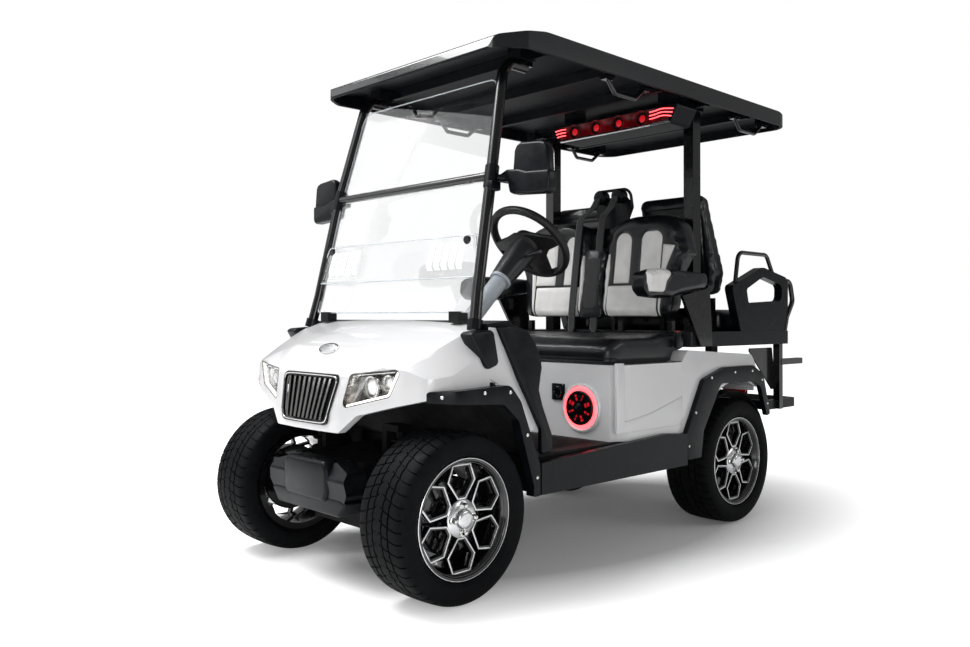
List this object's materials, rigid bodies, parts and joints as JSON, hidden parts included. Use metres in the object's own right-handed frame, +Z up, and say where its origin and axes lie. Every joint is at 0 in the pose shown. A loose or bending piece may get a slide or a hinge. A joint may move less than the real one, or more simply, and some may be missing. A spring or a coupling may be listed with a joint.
{
  "type": "golf cart",
  "caption": "Electric golf cart with front and rear-facing seats, roof, windscreen, steered front wheels and a rear footrest.",
  "frame": {"origin": "on the ground under the middle of the cart's overall length and width", "axes": "+X to the cart's left, +Y to its rear, +Z up"},
  "size_m": [1.4222, 2.6974, 1.914],
  "materials": {
    "pearl_paint": "gloss pearl",
    "black_moulding": "fine grain",
    "black_roof": "satin",
    "black_steel": "powder coat",
    "chrome": "bright",
    "alloy": "gloss black with machined faces",
    "tyre": "rubber",
    "clear_glass": "clear",
    "lamp_lens": "clear",
    "red_lens": "gloss",
    "seat_leather": "soft grain",
    "grip": "soft",
    "motor_case": "cast",
    "battery_case": "plain"
  },
  "bodies": {
    "chassis": {"cowl": "pearl_paint", "seat_pod": "pearl_paint", "rear_body": "pearl_paint", "bumper": "black_moulding", "front_flares": "black_moulding", "rear_flares": "black_moulding", "sills": "black_moulding", "cowl_trim": "black_moulding", "dashboard": "black_moulding", "deck": "black_moulding", "footrest": "black_moulding", "hip_restraints": "black_moulding", "speakers": "black_moulding", "sound_bar": "black_moulding", "mirrors": "black_moulding", "floor": "black_moulding", "pedals": "black_moulding", "steering_column": "black_moulding", "seat_belts": "black_moulding", "roof": "black_roof", "frame": "black_steel", "front_suspension": "black_steel", "rear_suspension": "black_steel", "rear_axle": "black_steel", "front_struts": "black_steel", "rear_posts": "black_steel", "guard_rails": "black_steel", "roof_handles": "black_steel", "seat_brackets": "black_steel", "step_frame": "black_steel", "windscreen_fittings": "black_steel", "grille": "chrome", "windscreen": "clear_glass", "headlamps": "lamp_lens", "tail_lamps": "red_lens", "front_cushion": "seat_leather", "front_backs": "seat_leather", "rear_backs": "seat_leather", "rear_cushion": "seat_leather", "armrests": "seat_leather", "motor": "motor_case", "battery": "battery_case"},
    "steering": {"steering_wheel": "grip"},
    "rack": {"tie_rods": "black_steel"},
    "knuckle_left": {"knuckle_left": "black_steel"},
    "knuckle_right": {"knuckle_right": "black_steel"},
    "wheel_fl": {"tyre_fl": "tyre", "rim_fl": "alloy"},
    "wheel_fr": {"tyre_fr": "tyre", "rim_fr": "alloy"},
    "wheel_rl": {"tyre_rl": "tyre", "rim_rl": "alloy"},
    "wheel_rr": {"tyre_rr": "tyre", "rim_rr": "alloy"}
  },
  "joints": [
    {"name": "left_knuckle_steer", "type": "hinge", "parent": "chassis", "child": "knuckle_left", "pos_m": [0.4, -1.07325, 0.2755], "axis": [0, 0, 1], "range_deg": [-25, 25]},
    {"name": "right_knuckle_steer", "type": "hinge", "parent": "chassis", "child": "knuckle_right", "pos_m": [-0.4, -1.07325, 0.2755], "axis": [0, 0, 1], "range_deg": [-25, 25]},
    {"name": "steering_wheel_turn", "type": "hinge", "parent": "chassis", "child": "steering", "pos_m": [0.25, -0.44225, 1.212], "axis": [0, 0.7193, 0.6947], "range_deg": [-380, 380]},
    {"name": "rack_slide", "type": "slide", "parent": "chassis", "child": "rack", "axis": [1, 0, 0], "range_m": [-0.05, 0.05]},
    {"name": "wheel_fl_spin", "type": "hinge", "parent": "knuckle_left", "child": "wheel_fl", "pos_m": [0.475, -1.07325, 0.2755], "axis": [1, 0, 0], "continuous": true},
    {"name": "wheel_fr_spin", "type": "hinge", "parent": "knuckle_right", "child": "wheel_fr", "pos_m": [-0.475, -1.07325, 0.2755], "axis": [1, 0, 0], "continuous": true},
    {"name": "wheel_rl_spin", "type": "hinge", "parent": "chassis", "child": "wheel_rl", "pos_m": [0.475, 0.57675, 0.2755], "axis": [1, 0, 0], "continuous": true},
    {"name": "wheel_rr_spin", "type": "hinge", "parent": "chassis", "child": "wheel_rr", "pos_m": [-0.475, 0.57675, 0.2755], "axis": [1, 0, 0], "continuous": true}
  ],
  "couplings": [
    {"joint": "right_knuckle_steer", "follows": "left_knuckle_steer", "ratio": 1},
    {"joint": "steering_wheel_turn", "follows": "left_knuckle_steer", "ratio": 15},
    {"joint": "rack_slide", "follows": "left_knuckle_steer", "m_per_rad": -0.1}
  ]
}
